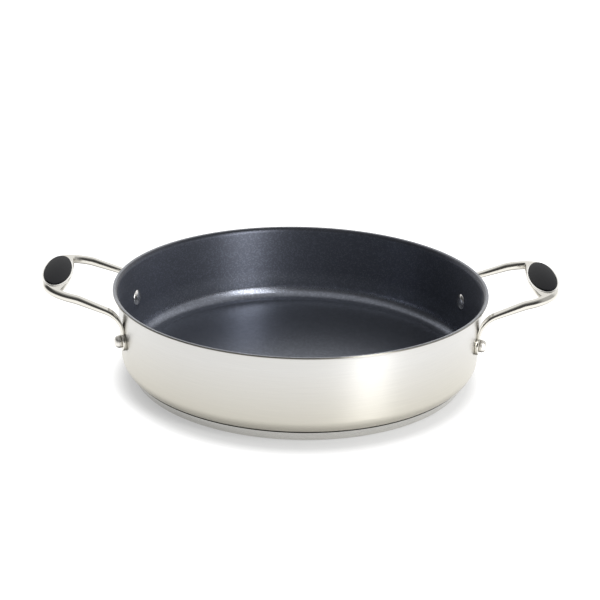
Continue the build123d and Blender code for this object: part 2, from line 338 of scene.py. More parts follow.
@dataclass(frozen=True)
class NonstickCoat(Finish):
    """Sprayed PTFE full of mica flakes over a spun sheet: blue-grey satin, highlights drawn upright."""

    name: str = "sprayed_ptfe_coat"
    slot: str = "nonstick"
    bands: tuple[tuple[float, str], ...] = (
        (8.1, "#6f737c"),  # floor
        (11.5, "#868a94"),  # corner, painted paler as a painted highlight over the lamp's own highlight there
        (15.0, "#868a94"),
        (34.0, "#686c77"),  # wall
        (69.5, "#686c77"),
        (71.2, "#3c3e45"),  # inside of the flare, darkened as a painted reflection of the dark room in front
        (72.2, "#3c3e45"),
        (72.5, "#84868b"),  # top of the lip, paler as a painted highlight where it catches the room at a grazing angle
    )
    metallic: float = 0.8
    corner_mm: Point = (14.0, 30.0)  # heights between which the floor's gloss turns into the wall's
    flare_mm: Point = (70.7, 72.2)  # and the wall's into the lip's
    roughness: Point3 = (0.27, 0.43, 0.18)  # of floor, wall and lip
    anisotropy: Point3 = (0.0, 0.68, 0.0)
    flake_mm: float = 0.9  # real flakes are under 0.1 mm; drawn this coarse so that they show
    flake_share: float = 0.5
    flake_gain: Point = (0.94, 1.75)  # brightness between the flakes and on a full one
    flake_polish: float = 0.06  # how much smoother a flake is than the coat
    flake_strength: float = 0.3
    flake_depth_mm: float = 0.05

    def by_part(self, tree: NodeTree, height: Source, levels: Point3) -> Node:
        """Adds nodes for a value that differs between floor, wall and lip.

        Args:
            tree: Material's node tree.
            height: Height in metres.
            levels: The value on the floor, the wall and the lip.

        Returns:
            The value's node.
        """
        links = {"Value": height}
        corner = {"From Min": self.corner_mm[0] * MM, "From Max": self.corner_mm[1] * MM}
        corner |= {"interpolation_type": "SMOOTHSTEP", "To Min": levels[0], "To Max": levels[1]}
        flare = {"From Min": self.flare_mm[0] * MM, "From Max": self.flare_mm[1] * MM, "To Max": levels[2]}
        lower = add_node(tree, "MapRange", corner, links)
        return add_node(tree, "MapRange", flare, {**links, "To Min": lower})

    def dress(self, shader: Node, tree: NodeTree) -> None:
        """Adds flakes in colour, gloss and tilt over each part's own gloss.

        Args:
            shader: The Principled shader.
            tree: Its node tree.
        """
        shader.inputs["Metallic"].default_value = self.metallic
        draw_upright(shader)
        place, parts = position(tree)
        height = parts["Z"]
        satin = self.by_part(tree, height, self.roughness)
        finer = add_node(tree, "Math", {"operation": "SUBTRACT", 1: self.flake_polish}, {0: satin})
        flakes = add_node(tree, "TexVoronoi", {"Scale": 1 / (self.flake_mm * MM)}, {"Vector": place})
        grey = add_node(tree, "SeparateXYZ", links={0: flakes.outputs["Color"]})
        upper_half = {"interpolation_type": "SMOOTHSTEP", "From Min": 0.5, "From Max": 1.0}
        shares = {**upper_half, "To Max": self.flake_share}
        amount = add_node(tree, "MapRange", shares, {"Value": grey.outputs["X"]})
        ends = {"To Min": self.flake_gain[0], "To Max": self.flake_gain[1]}
        gain = add_node(tree, "MapRange", ends, {"Value": amount})
        # the bands hold painted light: painted highlights on the corner and the lip's top, painted shade
        # inside the flare
        tint = by_height(tree, height, self.bands)
        flaked = add_node(tree, "VectorMath", {"operation": "SCALE"}, {0: tint, "Scale": gain})
        rough = add_node(tree, "MapRange", links={"To Min": satin, "To Max": finer, "Value": amount})
        drawn = self.by_part(tree, height, self.anisotropy)
        wire(shader, {"Base Color": flaked, "Roughness": rough, "Anisotropic": drawn})
        raise_surface(shader, grey.outputs["Y"], self.flake_strength, self.flake_depth_mm)


@dataclass(frozen=True)
class MouldedSilicone(Finish):
    """Black silicone from a blasted mould: matte, with a faint grey bloom at grazing angles."""

    name: str = "moulded_black_silicone"
    slot: str = "pad_silicone"
    colour: str = "#15161a"
    dark_colour: str = "#101114"
    ior: float = 1.41
    sheen_level: float = 0.22
    roughness: float = 0.55
    roughness_spread: Point = (0.05, 0.1)
    grain_mm: float = 0.5  # a blasted mould's grain is about 0.1 mm; coarser so that it shows
    grain_depth_mm: float = 0.03
    grain_strength: float = 0.3
    grain_stops: Point = (0.3, 0.7)  # levels of the grain that are darkest and palest

    def dress(self, shader: Node, tree: NodeTree) -> None:
        """Adds the fine moulded grain.

        Args:
            shader: The Principled shader.
            tree: Its node tree.
        """
        shader.inputs["IOR"].default_value = self.ior
        shader.inputs["Specular IOR Level"].default_value = self.sheen_level
        pattern = {"Scale": 1 / (self.grain_mm * MM), "Detail": 4.0}
        grain = add_node(tree, "TexNoise", pattern, {"Vector": position(tree)[0]}).outputs["Fac"]
        colours = list(zip(self.grain_stops, (linear(self.dark_colour), linear(self.colour))))
        tint = add_node(tree, "ValToRGB", {"stops": colours}, {0: grain})
        wire(shader, {"Base Color": tint})
        less, more = self.roughness_spread
        vary_gloss(shader, grain, self.roughness - less, self.roughness + more)
        raise_surface(shader, grain, self.grain_strength, self.grain_depth_mm)


# Belt-brushed sheet: a pale satin wall with one tall soft highlight
SHELL_STEEL = BrushedStainless()
# Pressed and only lightly brushed: a smoother, paler foot under the wall
CAP_STEEL = BrushedStainless(
    name="satin_pressed_stainless",
    slot="cap_steel",
    upper="#d9d8d4",
    lower="#d4d2cc",
    roughness=0.26,
    anisotropy=0.4,
    low_mm=0.0,
    high_mm=6.0,
    edge_from_mm=7.95,
    edge_colour="#33312e",  # painted shade in the groove under the shell's corner, along a brazed seam that is dark too
)
# Buffed castings: a near mirror, so the loops are drawn in thin bright and dark stripes
CAST_STEEL = PolishedCastSteel()
# Paler than the loops as a painted highlight, and softer: a light line round each pad
BEZEL_STEEL = PolishedCastSteel("burnished_bezel_stainless", "cast_steel", "#f3f1ec", 0.22)
# Polished rivet domes: a small bright highlight over a dark mirror of the coat
DOME_STEEL = PolishedCastSteel("polished_dome_stainless", "rivet_steel", "#f4f2ee", 0.21)
# Rivet heads struck by the setting tool: pale and satin
BUTTON_STEEL = PolishedCastSteel("set_button_stainless", "rivet_steel", "#e9e6e0", 0.45)
# Sprayed coat: dark blue-grey with fine sparkle, and a soft bright corner that is partly a painted highlight
COAT = NonstickCoat()
# Moulded silicone: nearly black, with hardly a highlight
SILICONE = MouldedSilicone()
# Rolled aluminium: dull pale grey, out of sight in the base
CORE_ALUMINIUM = PolishedCastSteel("rolled_aluminium", "core_aluminium", "#c9cacc", 0.35)


def ring_faces(rows: int, steps: int, first: int = 0, closed: bool = False) -> Faces:
    """Faces between rings of points.

    Args:
        rows: Number of rings.
        steps: Points on each ring.
        first: Index of the first ring's first point.
        closed: Joins the last ring to the first, in place of filling both.

    Returns:
        Vertex indices of each face.
    """
    starts = list(range(first, first + rows * steps, steps))
    faces: Faces = []
    for low, high in zip(starts, starts[1:] + starts[:1] * closed):
        for k in range(steps):
            n = (k + 1) % steps
            faces.append((low + k, low + n, high + n, high + k))
    ends = () if closed else (starts[0], starts[-1])
    return faces + [tuple(range(end, end + steps)) for end in ends]


@dataclass
class Mesher:
    """Makes smooth-shaded meshes in the CAD's frame from points in millimetres."""

    name: str

    def build(self, points: np.ndarray, faces: Sequence[Sequence[int]]) -> Object:
        """Makes an object from points and faces.

        Args:
            points: Vertices in millimetres, one row each.
            faces: Vertex indices of each face.

        Returns:
            The linked object, smooth shaded.
        """
        mesh = bpy.data.meshes.new(self.name)
        mesh.from_pydata((np.asarray(points, float) * MM).tolist(), [], [list(f) for f in faces])
        mesh.validate()
        tidy = bmesh.new()
        tidy.from_mesh(mesh)
        bmesh.ops.recalc_face_normals(tidy, faces=tidy.faces)
        tidy.to_mesh(mesh)
        tidy.free()
        mesh.shade_smooth()
        made = bpy.data.objects.new(self.name, mesh)
        bpy.context.scene.collection.objects.link(made)
        return made

    def revolve(self, profile: Sequence[Point], segments: int = 288) -> Object:
        """Turns a closed half-section about the pan's axis.

        Args:
            profile: Radius and height of each point, counter-clockwise, points on the axis having radius 0.
            segments: Steps round the axis.

        Returns:
            The turned object.
        """
        points: list[Point3] = []
        rings: list[list[int]] = []
        for radius, height in profile:
            if radius == 0:
                rings.append([len(points)] * segments)
                points.append((0.0, 0.0, height))
                continue
            rings.append(list(range(len(points), len(points) + segments)))
            for k in range(segments):
                angle = 2 * math.pi * k / segments
                points.append((radius * math.cos(angle), radius * math.sin(angle), height))
        faces = []
        for low, high in zip(rings, rings[1:] + rings[:1]):
            for k in range(segments):
                n = (k + 1) % segments
                corners = dict.fromkeys((low[k], low[n], high[n], high[k]))
                if len(corners) > 2:
                    faces.append(tuple(corners))
        return self.build(np.array(points), faces)


def dressed(piece: Object, finish: Finish) -> Object:
    """Gives a piece its finish and its place in the object.

    Args:
        piece: The mesh object.
        finish: What it is made of.

    Returns:
        The same object.
    """
    piece.data.materials.clear()
    piece.data.materials.append(finish.material())
    if "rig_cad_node" not in piece:
        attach(piece, "root")
    log.info("%s in %s, %d faces", piece.name, finish.name, len(piece.data.polygons))
    return piece


def arc(centre: Point, radius: float, start_deg: float, end_deg: float, steps: int) -> list[Point]:
    """Points along a circular arc in a half-section.

    Args:
        centre: Radius and height of the arc's centre.
        radius: The arc's radius.
        start_deg: Angle of the first point, from the outward direction.
        end_deg: Angle of the last point.
        steps: Number of spans.

    Returns:
        The arc's points, both ends included.
    """
    angles = np.radians(np.linspace(start_deg, end_deg, steps + 1))
    return [(centre[0] + radius * math.cos(a), centre[1] + radius * math.sin(a)) for a in angles]


def line(start: Point, end: Point, steps: int) -> list[Point]:
    """Evenly spaced points from start to end, both included."""
    return [(float(r), float(z)) for r, z in np.linspace(start, end, steps + 1)]


def turned(vector: Vector, axis: str, degrees: float) -> Vector:
    """A vector turned about a world axis."""
    return Matrix.Rotation(math.radians(degrees), 3, axis) @ vector


@dataclass
class PanSection:
    """Half-section of the drawn pan, in the CAD shell's own sizes."""

    rim_radius: float = 150.0
    rim_height: float = 72.7
    sheet: float = 0.8
    coat: float = 0.25
    film: float = 0.02
    curl_radius: float = 3.0
    land: float = 0.5
    bevel: float = 0.2  # how far the trimmed edge leans in at its top
    taper_deg: float = 2.6
    corner_radius: float = 13.0
    floor_height: float = 7.2
    hub: float = 20.0  # radius of the floor's flat middle
    blend: float = 0.5  # flat left before the corner
    edge_inset: float = 0.1
    curved_steps: tuple[int, int] = (14, 10)  # on the corner and on the flare
    straight_steps: tuple[int, int] = (5, 10)  # on the floor and on the wall

    @property
    def normal(self) -> Point:
        """Outward normal of the tapered wall."""
        taper = math.radians(self.taper_deg)
        return math.cos(taper), -math.sin(taper)

    @property
    def lip_centre(self) -> Point:
        """Centre of the flare's arcs."""
        drop = self.coat + self.film + self.sheet + self.curl_radius
        return self.rim_radius - self.land, self.rim_height - drop

    @property
    def wall_line(self) -> float:
        """Distance of the wall's outer face from the origin, along its normal."""
        return self.normal[0] * self.lip_centre[0] + self.normal[1] * self.lip_centre[1] - self.curl_radius

    @property
    def corner_centre(self) -> Point:
        """Centre of the bottom corner's arcs."""
        z = self.floor_height + self.corner_radius
        return (self.wall_line - self.corner_radius - z * self.normal[1]) / self.normal[0], z

    def wall_radius(self, z: float) -> float:
        """Outer radius of the tapered wall at a height."""
        return (self.wall_line - z * self.normal[1]) / self.normal[0]

    def lip_top(self, depth: float) -> float:
        """Height of the lip's flat top at a depth inside the shell's outer face."""
        return self.lip_centre[1] + self.curl_radius + depth

    def chain(self, depth: float, fine: int = 1) -> list[Point]:
        """Floor, corner, wall and flare at a depth inside the shell's outer face.

        Args:
            depth: Distance inside the outer face.
            fine: Multiplies the number of points on the curved parts.

        Returns:
            Points from the axis to the rim's edge.
        """
        turn, climb = (steps * fine for steps in self.curved_steps)
        corner = arc(self.corner_centre, self.corner_radius - depth, -90, -self.taper_deg, turn)
        flare = arc(self.lip_centre, self.curl_radius + depth, 180 - self.taper_deg, 90, climb)
        z = self.floor_height + depth
        floor = [(0.0, z)] + line((self.hub, z), (corner[0][0] - self.blend, z), self.straight_steps[0])
        wall = line(corner[-1], flare[0], self.straight_steps[1])[1:-1]
        edge = (self.rim_radius - self.bevel - self.edge_inset, self.lip_top(depth))
        return floor + corner + wall + flare + [edge]


@dataclass
class PanBody:
    """The drawn shell with its nonstick lining."""

    section: PanSection = field(default_factory=PanSection)
    # The steel's edge from below, as insets from the rim's radius and lifts over the flare's underside
    burr: tuple[Point, ...] = ((0.1, -0.7), (0.0, -0.5), (0.0, 0.0))
    steel_break: float = 0.05  # how far the edge stops short of the sheet's top
    coat_breaks: Point = (0.02, 0.08)  # and the coat's edge of its two faces

    def build(self) -> list[Object]:
        """Builds the steel sheet and the nonstick skin, both up to the rim's softened edge.

        Returns:
            Both pieces.
        """
        s = self.section
        edge = [(s.rim_radius - inset, s.lip_top(0.0) + lift) for inset, lift in self.burr]
        edge.append((s.rim_radius - s.bevel, s.lip_top(s.sheet) - self.steel_break))
        shell = Mesher("pan_shell_sheet").revolve(s.chain(0.0, fine=2) + edge + s.chain(s.sheet)[::-1])
        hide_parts("pan_shell")
        under, over = s.sheet + s.film, s.sheet + s.film + s.coat
        levels = (s.lip_top(under) + self.coat_breaks[0], s.lip_top(over) - self.coat_breaks[1])
        edge = [(s.rim_radius - s.bevel, level) for level in levels]
        skin = Mesher("nonstick_skin").revolve(s.chain(under) + edge + s.chain(over, fine=2)[::-1])
        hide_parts("nonstick_lining")
        return [dressed(shell, SHELL_STEEL), dressed(skin, COAT)]


@dataclass
class CapsuleBase:
    """The pressed cap over the aluminium core, with a rolled mouth under the shell's corner."""

    section: PanSection = field(default_factory=PanSection)
    mouth_radius: float = 138.0
    cap_sheet: float = 0.5
    side_angle_deg: float = 25.0
    edge_radius: float = 3.0
    hub: float = 12.0
    blend: float = 0.4
    # The mouth's roll from below, as insets and drops from its corner
    mouth_roll: tuple[Point, ...] = ((0.14, 0.3), (0.12, 0.12), (0.22, 0.03), (0.34, 0.0))
    edge_steps: tuple[int, int] = (10, 6)  # on the rolled foot's outside and inside
    flat_steps: tuple[int, int] = (8, 3)  # on the underside and on the face over it

    def build(self) -> list[Object]:
        """Dresses the core and builds the cap.

        Returns:
            Both pieces.
        """
        lean = math.radians(self.side_angle_deg)
        s = self.section
        rim = self.mouth_radius - self.cap_sheet / math.cos(lean)
        gap = s.corner_radius + s.film
        top = s.corner_centre[1] - math.sqrt(gap**2 - (rim - s.corner_centre[0]) ** 2)
        foot = self.mouth_radius - top * math.tan(lean)
        setback = self.edge_radius * math.tan((math.pi / 2 - lean) / 2)
        edge_centre = (foot - setback, self.edge_radius)
        edge = arc(edge_centre, self.edge_radius, -90, -self.side_angle_deg, self.edge_steps[0])
        inside = self.edge_radius - self.cap_sheet
        inner = arc(edge_centre, inside, -90, -self.side_angle_deg, self.edge_steps[1])
        mouth = [(self.mouth_radius - inset, top - drop) for inset, drop in self.mouth_roll]
        under, over = self.flat_steps
        underside = [(0.0, 0.0)] + line((self.hub, 0.0), (edge[0][0] - self.blend, 0.0), under)
        level = self.cap_sheet
        top_face = line((self.hub, level), (inner[0][0] - self.blend, level), over)[::-1]
        profile = underside + edge + mouth + [(rim, top)] + inner[::-1] + top_face + [(0.0, level)]
        cap = Mesher("base_capsule").revolve(profile)
        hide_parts("base_cap")
        dressed(cap, CAP_STEEL)
        return [cap, dressed(frame["nodes"]["base_core"], CORE_ALUMINIUM)]


@dataclass
class RivetFrame:
    """A rivet's place on the wall's outer face: `out` leaves the wall, `up` climbs it, `side` runs round."""

    section: PanSection
    half_spacing: float = 47.2
    drop: float = 31.7

    def __post_init__(self) -> None:
        """Works out the frame of the rivet at the right-hand handle's far foot."""
        z = self.section.rim_height - self.drop
        self.wall_radius = self.section.wall_radius(z)
        angle = math.degrees(math.asin(self.half_spacing / self.wall_radius))
        self.origin = turned(Vector((self.wall_radius, 0.0, z)), "Z", angle)
        self.side = turned(Vector((0.0, 1.0, 0.0)), "Z", angle)
        self.out = turned(Vector((self.section.normal[0], 0.0, self.section.normal[1])), "Z", angle)
        self.up = self.out.cross(self.side)

    def ring(self, radius: float, level: float, steps: int, sag: float = 0.0) -> list[Vector]:
        """Points round the rivet's axis.

        Args:
            radius: Distance from the axis.
            level: Distance out from the wall.
            steps: Number of points.
            sag: Curvature by which the ring bends back round the wall, 0 for a flat one.

        Returns:
            The points.
        """
        made = []
        for turn in np.linspace(0.0, 2 * math.pi, steps, endpoint=False):
            x, y = radius * math.cos(turn), radius * math.sin(turn)
            made.append(self.origin + self.side * x + self.up * y + self.out * (level - sag * x * x / 2))
        return made


@dataclass
class Rivets:
    """The four solid rivets: tall buttons outside, low domes inside the pan."""

    section: PanSection = field(default_factory=PanSection)
    foot_thickness: float = 2.6
    button_radius: float = 4.9
    button_height: float = 5.0
    button_edge: float = 3.4
    dome_radius: float = 6.8
    dome_height: float = 2.0
    dome_power: float = 2.5  # a plain cap has 2; more makes its rim steeper
    dome_sink: Point = (0.2, 0.3)  # how far the dome's rim and middle reach into the coat
    shank_radius: float = 3.0
    axis_radius: float = 0.01
    steps: int = 48
    crown_steps: int = 12
    edge_steps: int = 8

    def dome(self) -> list[Point]:
        """Half-section of the head inside the pan, along the rivet's axis.

        Returns:
            Radii and levels from the crown to the filled back.
        """
        face = -(self.section.sheet + self.section.film + self.section.coat)
        shares = np.linspace(0.0, 1.0, self.crown_steps + 1).tolist()
        crown = [(self.dome_radius * t, face - self.dome_height * (1 - t**self.dome_power)) for t in shares]
        return crown + [(self.dome_radius, face + self.dome_sink[0]), (0.0, face + self.dome_sink[1])]

    def button(self) -> list[Point]:
        """Half-section of the shank and the head outside the foot.

        Returns:
            Radii and levels from the shank's end to the crown.
        """
        low = self.section.film * 2 + self.foot_thickness
        shank = [(0.0, -self.section.sheet), (self.shank_radius, -self.section.sheet)]
        centre = (self.button_radius - self.button_edge, low + self.button_height - self.button_edge)
        head = [(self.shank_radius, low), (self.button_radius, low)]
        head += arc(centre, self.button_edge, 0, 90, self.edge_steps)
        return shank + head + [(0.0, low + self.button_height)]

    def turned_four(self, name: str, profile: Sequence[Point]) -> Object:
        """Turns a half-section about each of the four rivets' axes.

        Args:
            name: The object's name.
            profile: Radii and levels.

        Returns:
            One object with four turned bodies.
        """
        frame_at = RivetFrame(self.section)
        points: list[Point3] = []
        faces: Faces = []
        for sign, hand in ((1, 1), (1, -1), (-1, 1), (-1, -1)):
            faces += ring_faces(len(profile), self.steps, len(points))
            for radius, level in profile:
                ring = frame_at.ring(max(radius, self.axis_radius), level, self.steps)
                points += [(p.x * sign, p.y * hand, p.z) for p in ring]
        return Mesher(name).build(np.array(points), faces)

    def build(self) -> list[Object]:
        """Builds the buttons and the domes.

        Returns:
            One object of each kind.
        """
        buttons = self.turned_four("rivet_buttons", self.button())
        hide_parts("handle_rivets")
        domes = self.turned_four("rivet_domes", self.dome())
        return [dressed(buttons, BUTTON_STEEL), dressed(domes, DOME_STEEL)]


@dataclass
class Station:
    """One cross-section of the loop: its top edges, the ways into the metal and down, and its size."""

    outer: Vector
    inner: Vector
    outer_in: Vector
    inner_in: Vector
    down: Vector
    thickness: float


@dataclass
class LoopHandle:
    """The cast loop: a flat-topped bar with bulging sides, bent up from two feet to an oval pad ring."""

    side: Side
    section: PanSection = field(default_factory=PanSection)
    foot_thickness: float = 2.6
    lug_radius: float = 7.6
    lug_edge: float = 0.7
    lug_back: Point = (0.4, 0.3)  # chamfer round its back
    lug_core: float = 2.0
    lug_steps: tuple[int, int] = (64, 5)  # round the foot and round its edge
    reach: float = 47.7
    rise: float = 8.5
    tilt_deg: float = 11.5
    depth: float = 6.3
    shoulder_spacing: float = 44.7
    shoulder_setback: float = 19.0
    shoulder_radius: float = 35.0
    shoulder_heading_deg: float = 30.0
    corner_radius: float = 25.0
    corner_heading_deg: float = 76.0
    back_reach: float = 12.0
    back_radius: float = 180.0
    crotch_radius: float = 1.2
    crotch_reach: Point3 = (1.6, 1.7, 1.2)  # its radii to the arm's end, the bar's end and the corner
    crotch_shares: tuple[float, ...] = (0.2, 0.4, 0.6, 0.8)
    bar_steps: int = 30
    edge_steps: tuple[int, int] = (40, 60)  # on each arc of the outer edge and of the finger gap's
    edge_stride: int = 4  # the finger gap's edge keeps every fourth of its points
    arm_width: float = 6.6
    strap_width: float = 7.2
    bend_rise: float = 20.5
    bend_radius: float = 18.0
    knee_setback: float = 3.0
    knee_radius: float = 26.0
    mid_share: float = 0.85
    bend_share: float = 0.72
    strap_shares: Point3 = (0.0, 0.35, 0.7)  # cross-sections between the rivet and the bend
    arm_stations: tuple[int, int, int] = (12, 10, 8)  # on the bend, the slope and the knee
    pad_half_width: float = 9.9
    pad_half_length: float = 32.5
    bezel_width: float = 1.65
    bezel_height: float = 0.4
    bezel_feet: Point = (-0.1, -0.5)  # levels of its inner and outer foot
    bezel_rows: int = 9
    bezel_steps: int = 120
    edge_trim: float = 0.1  # the bulging side is widest lower down, where the tilt carries it outwards
    flank_radius: float = 5.0  # upper side, from the crisp edge of the top face out to the widest line
    flank_start_deg: float = 42.0
    crease_radius: float = 0.25
    belly_inset: float = 2.5
    face_insets: Point = (0.2, 0.3)  # how far in the flat top and the underside begin
    side_steps: tuple[int, int] = (3, 12)  # on the crease, and on the flank and the belly
    flat_steps: tuple[int, int] = (5, 3)  # across the top and the underside

    def __post_init__(self) -> None:
        """Works out the grip plane and the arm's path."""
        base = self.section.wall_radius(self.section.lip_centre[1])
        self.origin = Vector((base + self.reach, 0.0, self.section.rim_height + self.rise))
        self.along = turned(Vector((1.0, 0.0, 0.0)), "Y", -self.tilt_deg)
        self.normal = turned(Vector((0.0, 0.0, 1.0)), "Y", -self.tilt_deg)
        self.across = Vector((0.0, 1.0, 0.0))
        self.rivet = RivetFrame(self.section)
        self.foot = self.rivet.origin + self.rivet.out * (self.section.film + self.foot_thickness / 2)
        self.bend = self.foot + self.rivet.up * self.bend_rise
        self.joint = self.on_plane(-self.shoulder_setback, self.shoulder_spacing, -self.depth / 2)
        plan = math.atan2(self.bend.y - self.joint.y, self.joint.x - self.bend.x)
        self.turn = math.atan2(math.sin(plan), math.cos(plan) / math.cos(math.radians(self.tilt_deg)))
        self.heading = self.along * math.cos(self.turn) - self.across * math.sin(self.turn)
        self.knee = self.joint - self.heading * self.knee_setback
        self.sideways = Vector((math.sin(plan), math.cos(plan), 0.0))

    def on_plane(self, x: float, y: float, z: float = 0.0) -> Vector:
        """A point given on the grip's plane, z above its top face."""
        return self.origin + self.along * x + self.across * y + self.normal * z

    def profile(self, scale: float) -> list[Point]:
        """Side of the bar from its top face down to its underside, as insets and depths.

        Args:
            scale: Thickness there, as a share of the grip's depth.

        Returns:
            Points whose inset is measured in from the widest line.
        """
        start = math.radians(self.flank_start_deg)
        inset = self.flank_radius * (1 - math.cos(start)) + self.crease_radius * math.cos(start)
        drop = self.crease_radius * (1 - math.sin(start))
        middle = drop + self.flank_radius * math.sin(start)
        turned_in = 180 + self.flank_start_deg
        few, many = self.side_steps
        points = [(inset + self.face_insets[0], 0.0)]
        points += arc((inset, self.crease_radius), self.crease_radius, 270, turned_in, few)
        points += arc((self.flank_radius, middle), self.flank_radius, turned_in, 180, many)[1:]
        for out, down in arc((0.0, 0.0), 1.0, 0, 90, many)[1:]:
            points.append((self.belly_inset * (1 - out), middle + (self.depth - middle) * down))
        points.append((self.belly_inset + self.face_insets[1], self.depth))
        return [(a * scale, b * scale) for a, b in points]

    def ring(self, station: Station) -> list[Vector]:
        """Points round one cross-section.

        Args:
            station: The cross-section.

        Returns:
            Points up the outer side, over the top and back under.
        """
        sides = self.profile(station.thickness / self.depth)
        outer = [station.outer + station.outer_in * a + station.down * b for a, b in sides]
        inner = [station.inner + station.inner_in * a + station.down * b for a, b in sides]
        over, below = self.flat_steps
        top = [outer[0].lerp(inner[0], k / over) for k in range(1, over)]
        under = [inner[-1].lerp(outer[-1], k / below) for k in range(1, below)]
        return outer[::-1] + top + inner + under

    def across_arm(self, at: tuple[Vector, Vector], side: Vector, width: float, thick: float) -> Station:
        """A cross-section of the arm, square to its path.

        Args:
            at: Point on the path and its heading there.
            side: Rough direction of the arm's width.
            width: The arm's width.
            thick: Its thickness.

        Returns:
            The cross-section.
        """
        point, heading = at
        level = (side - heading * side.dot(heading)).normalized()
        normal = heading.cross(level)
        top = point + normal * (thick / 2)
        return Station(top + level * width / 2, top - level * width / 2, -level, level, -normal, thick)

    def rounding(self, corner: Sequence[Vector], radius: float, share: float) -> tuple[Vector, Vector]:
        """Follows the arc that rounds off a corner of the arm's path.

        Args:
            corner: Points before, at and after the corner.
            radius: The arc's radius.
            share: How far along the arc.

        Returns:
            Point and heading there.
        """
        before, middle, after = corner
        inward, outward = (middle - before).normalized(), (after - middle).normalized()
        turn = math.acos(inward.dot(outward))
        across = (outward - inward * inward.dot(outward)).normalized()
        start = middle - inward * (radius * math.tan(turn / 2))
        swung = turn * share
        point = start + inward * (radius * math.sin(swung)) + across * (radius * (1 - math.cos(swung)))
        return point, inward * math.cos(swung) + across * math.sin(swung)

    def arm(self) -> list[Station]:
        """Cross-sections from the rivet up to the grip.

        Returns:
            The cross-sections.
        """
        made = []
        low = ((self.foot, self.bend, self.knee), self.bend_radius)
        high = ((self.bend, self.knee, self.joint), self.knee_radius)
        width, flat, end_thick = self.strap_width, self.foot_thickness, self.depth * self.bend_share
        start, climb = self.rounding(*low, 0.0)
        bend_count, slope_count, knee_count = self.arm_stations
        for share in self.strap_shares:
            made.append(self.across_arm((self.foot.lerp(start, share), climb), self.rivet.side, width, flat))
        for share in np.linspace(0.0, 1.0, bend_count):
            thick = flat + (end_thick - flat) * share
            width = self.strap_width + (self.arm_width - self.strap_width) * share
            side = self.rivet.side.lerp(self.sideways, share)
            made.append(self.across_arm(self.rounding(*low, share), side, width, thick))
        bend_end, slope = self.rounding(*low, 1.0)
        knee_start, _ = self.rounding(*high, 0.0)
        depths = (end_thick, self.depth * self.mid_share, self.depth)
        for share in np.linspace(0.0, 1.0, slope_count)[1:-1]:
            thick = float(np.interp(share, (0.0, 0.5, 1.0), depths))
            at = (bend_end.lerp(knee_start, share), slope)
            made.append(self.across_arm(at, self.sideways, self.arm_width, thick))
        for share in np.linspace(0.0, 1.0, knee_count):
            at = self.rounding(*high, share)
            made.append(self.across_arm(at, self.sideways, self.arm_width, self.depth))
        return made

    def outline(self, inset: float, steps: int) -> list[tuple[Point, Point]]:
        """Points of the loop's edge and the ways inward there, from the joint round to the middle.

        Args:
            inset: Distance inside the outer outline.
            steps: Spans on each arc.

        Returns:
            Pairs of a place and an inward unit vector, both on the grip plane.
        """
        x = -self.shoulder_setback + math.sin(self.turn) * (self.arm_width / 2 - inset)
        y = self.shoulder_spacing + math.cos(self.turn) * (self.arm_width / 2 - inset)
        heading = self.turn
        pairs: list[tuple[Point, Point]] = []
        radii = (self.shoulder_radius - inset, self.corner_radius - inset, 0.0)
        ends = (math.radians(self.shoulder_heading_deg), math.radians(self.corner_heading_deg), math.pi / 2)
        for radius, end in zip(radii, ends):
            if radius == 0.0:
                radius = y / math.sin(end - heading)
            centre = (x - radius * math.sin(heading), y - radius * math.cos(heading))
            for way in np.linspace(heading, end, steps + 1)[0 if not pairs else 1 :]:
                inward = (-math.sin(way), -math.cos(way))
                pairs.append(((centre[0] - radius * inward[0], centre[1] - radius * inward[1]), inward))
            (x, y), heading = pairs[-1][0], end
        return pairs

    def finger_edge(self) -> list[tuple[Point, Point]]:
        """Edge of the finger gap from the joint, round its rounded corner, to the middle of the bar.

        Returns:
            Pairs of a place and a unit vector into the metal, both on the grip plane.
        """
        centre_x = self.back_radius - self.back_reach
        arm_end, bar_end, tip = (reach * self.crotch_radius for reach in self.crotch_reach)
        edge = []
        for (x, y), inward in self.outline(self.arm_width, self.edge_steps[1]):
            if math.hypot(x - centre_x, y) < self.back_radius + arm_end:
                break
            edge.append(((x, y), (-inward[0], -inward[1])))
        (x0, y0), way0 = edge[-1]
        bar = []
        for y in np.linspace(y0 - bar_end, 0.0, self.bar_steps).tolist():
            reach = math.sqrt(self.back_radius**2 - y**2)
            bar.append(((centre_x - reach, y), (reach / self.back_radius, -y / self.back_radius)))
        (x1, y1), way1 = bar[0]
        corner = Vector((x0 + way0[1] * tip, y0 - way0[0] * tip))
        bend = []
        for share in self.crotch_shares:
            a, b = Vector((x0, y0)).lerp(corner, share), corner.lerp(Vector((x1, y1)), share)
            place = a.lerp(b, share)
            way = Vector(way0).slerp(Vector(way1), share)
            bend.append(((place.x, place.y), (way.x, way.y)))
        return edge[: -1 : self.edge_stride] + [edge[-1]] + bend + bar

    def grip(self) -> list[Station]:
        """Pairs up the loop's two edges, from the joint to the middle of the bar.

        Returns:
            The cross-sections.
        """
        inner = self.finger_edge()
        outer = self.outline(self.edge_trim, self.edge_steps[0])
        walks = []
        for edge in (outer, inner):
            walks.append(np.cumsum([0.0] + [math.dist(a[0], b[0]) for a, b in zip(edge, edge[1:])]))
        walked, inner_walked = walks
        columns = np.array([[*place, *inward] for place, inward in outer]).T
        stretch = self.shoulder_radius / (self.shoulder_radius - self.arm_width)
        lead = len(inner) - self.bar_steps - len(self.crotch_shares) - 1
        stations = []
        for index, ((x, y), way) in enumerate(inner):
            target = inner_walked[min(index, lead)] * stretch
            if index > lead:
                target += (walked[-1] - target) * (index - lead) / (len(inner) - 1 - lead)
            ox, oy, ix, iy = (float(np.interp(target, walked, column)) for column in columns)
            outer_in = (self.along * ix + self.across * iy) / math.hypot(ix, iy)
            inner_in = self.along * way[0] + self.across * way[1]
            edges = (self.on_plane(ox, oy), self.on_plane(x, y))
            stations.append(Station(*edges, outer_in, inner_in, -self.normal, self.depth))
        return stations

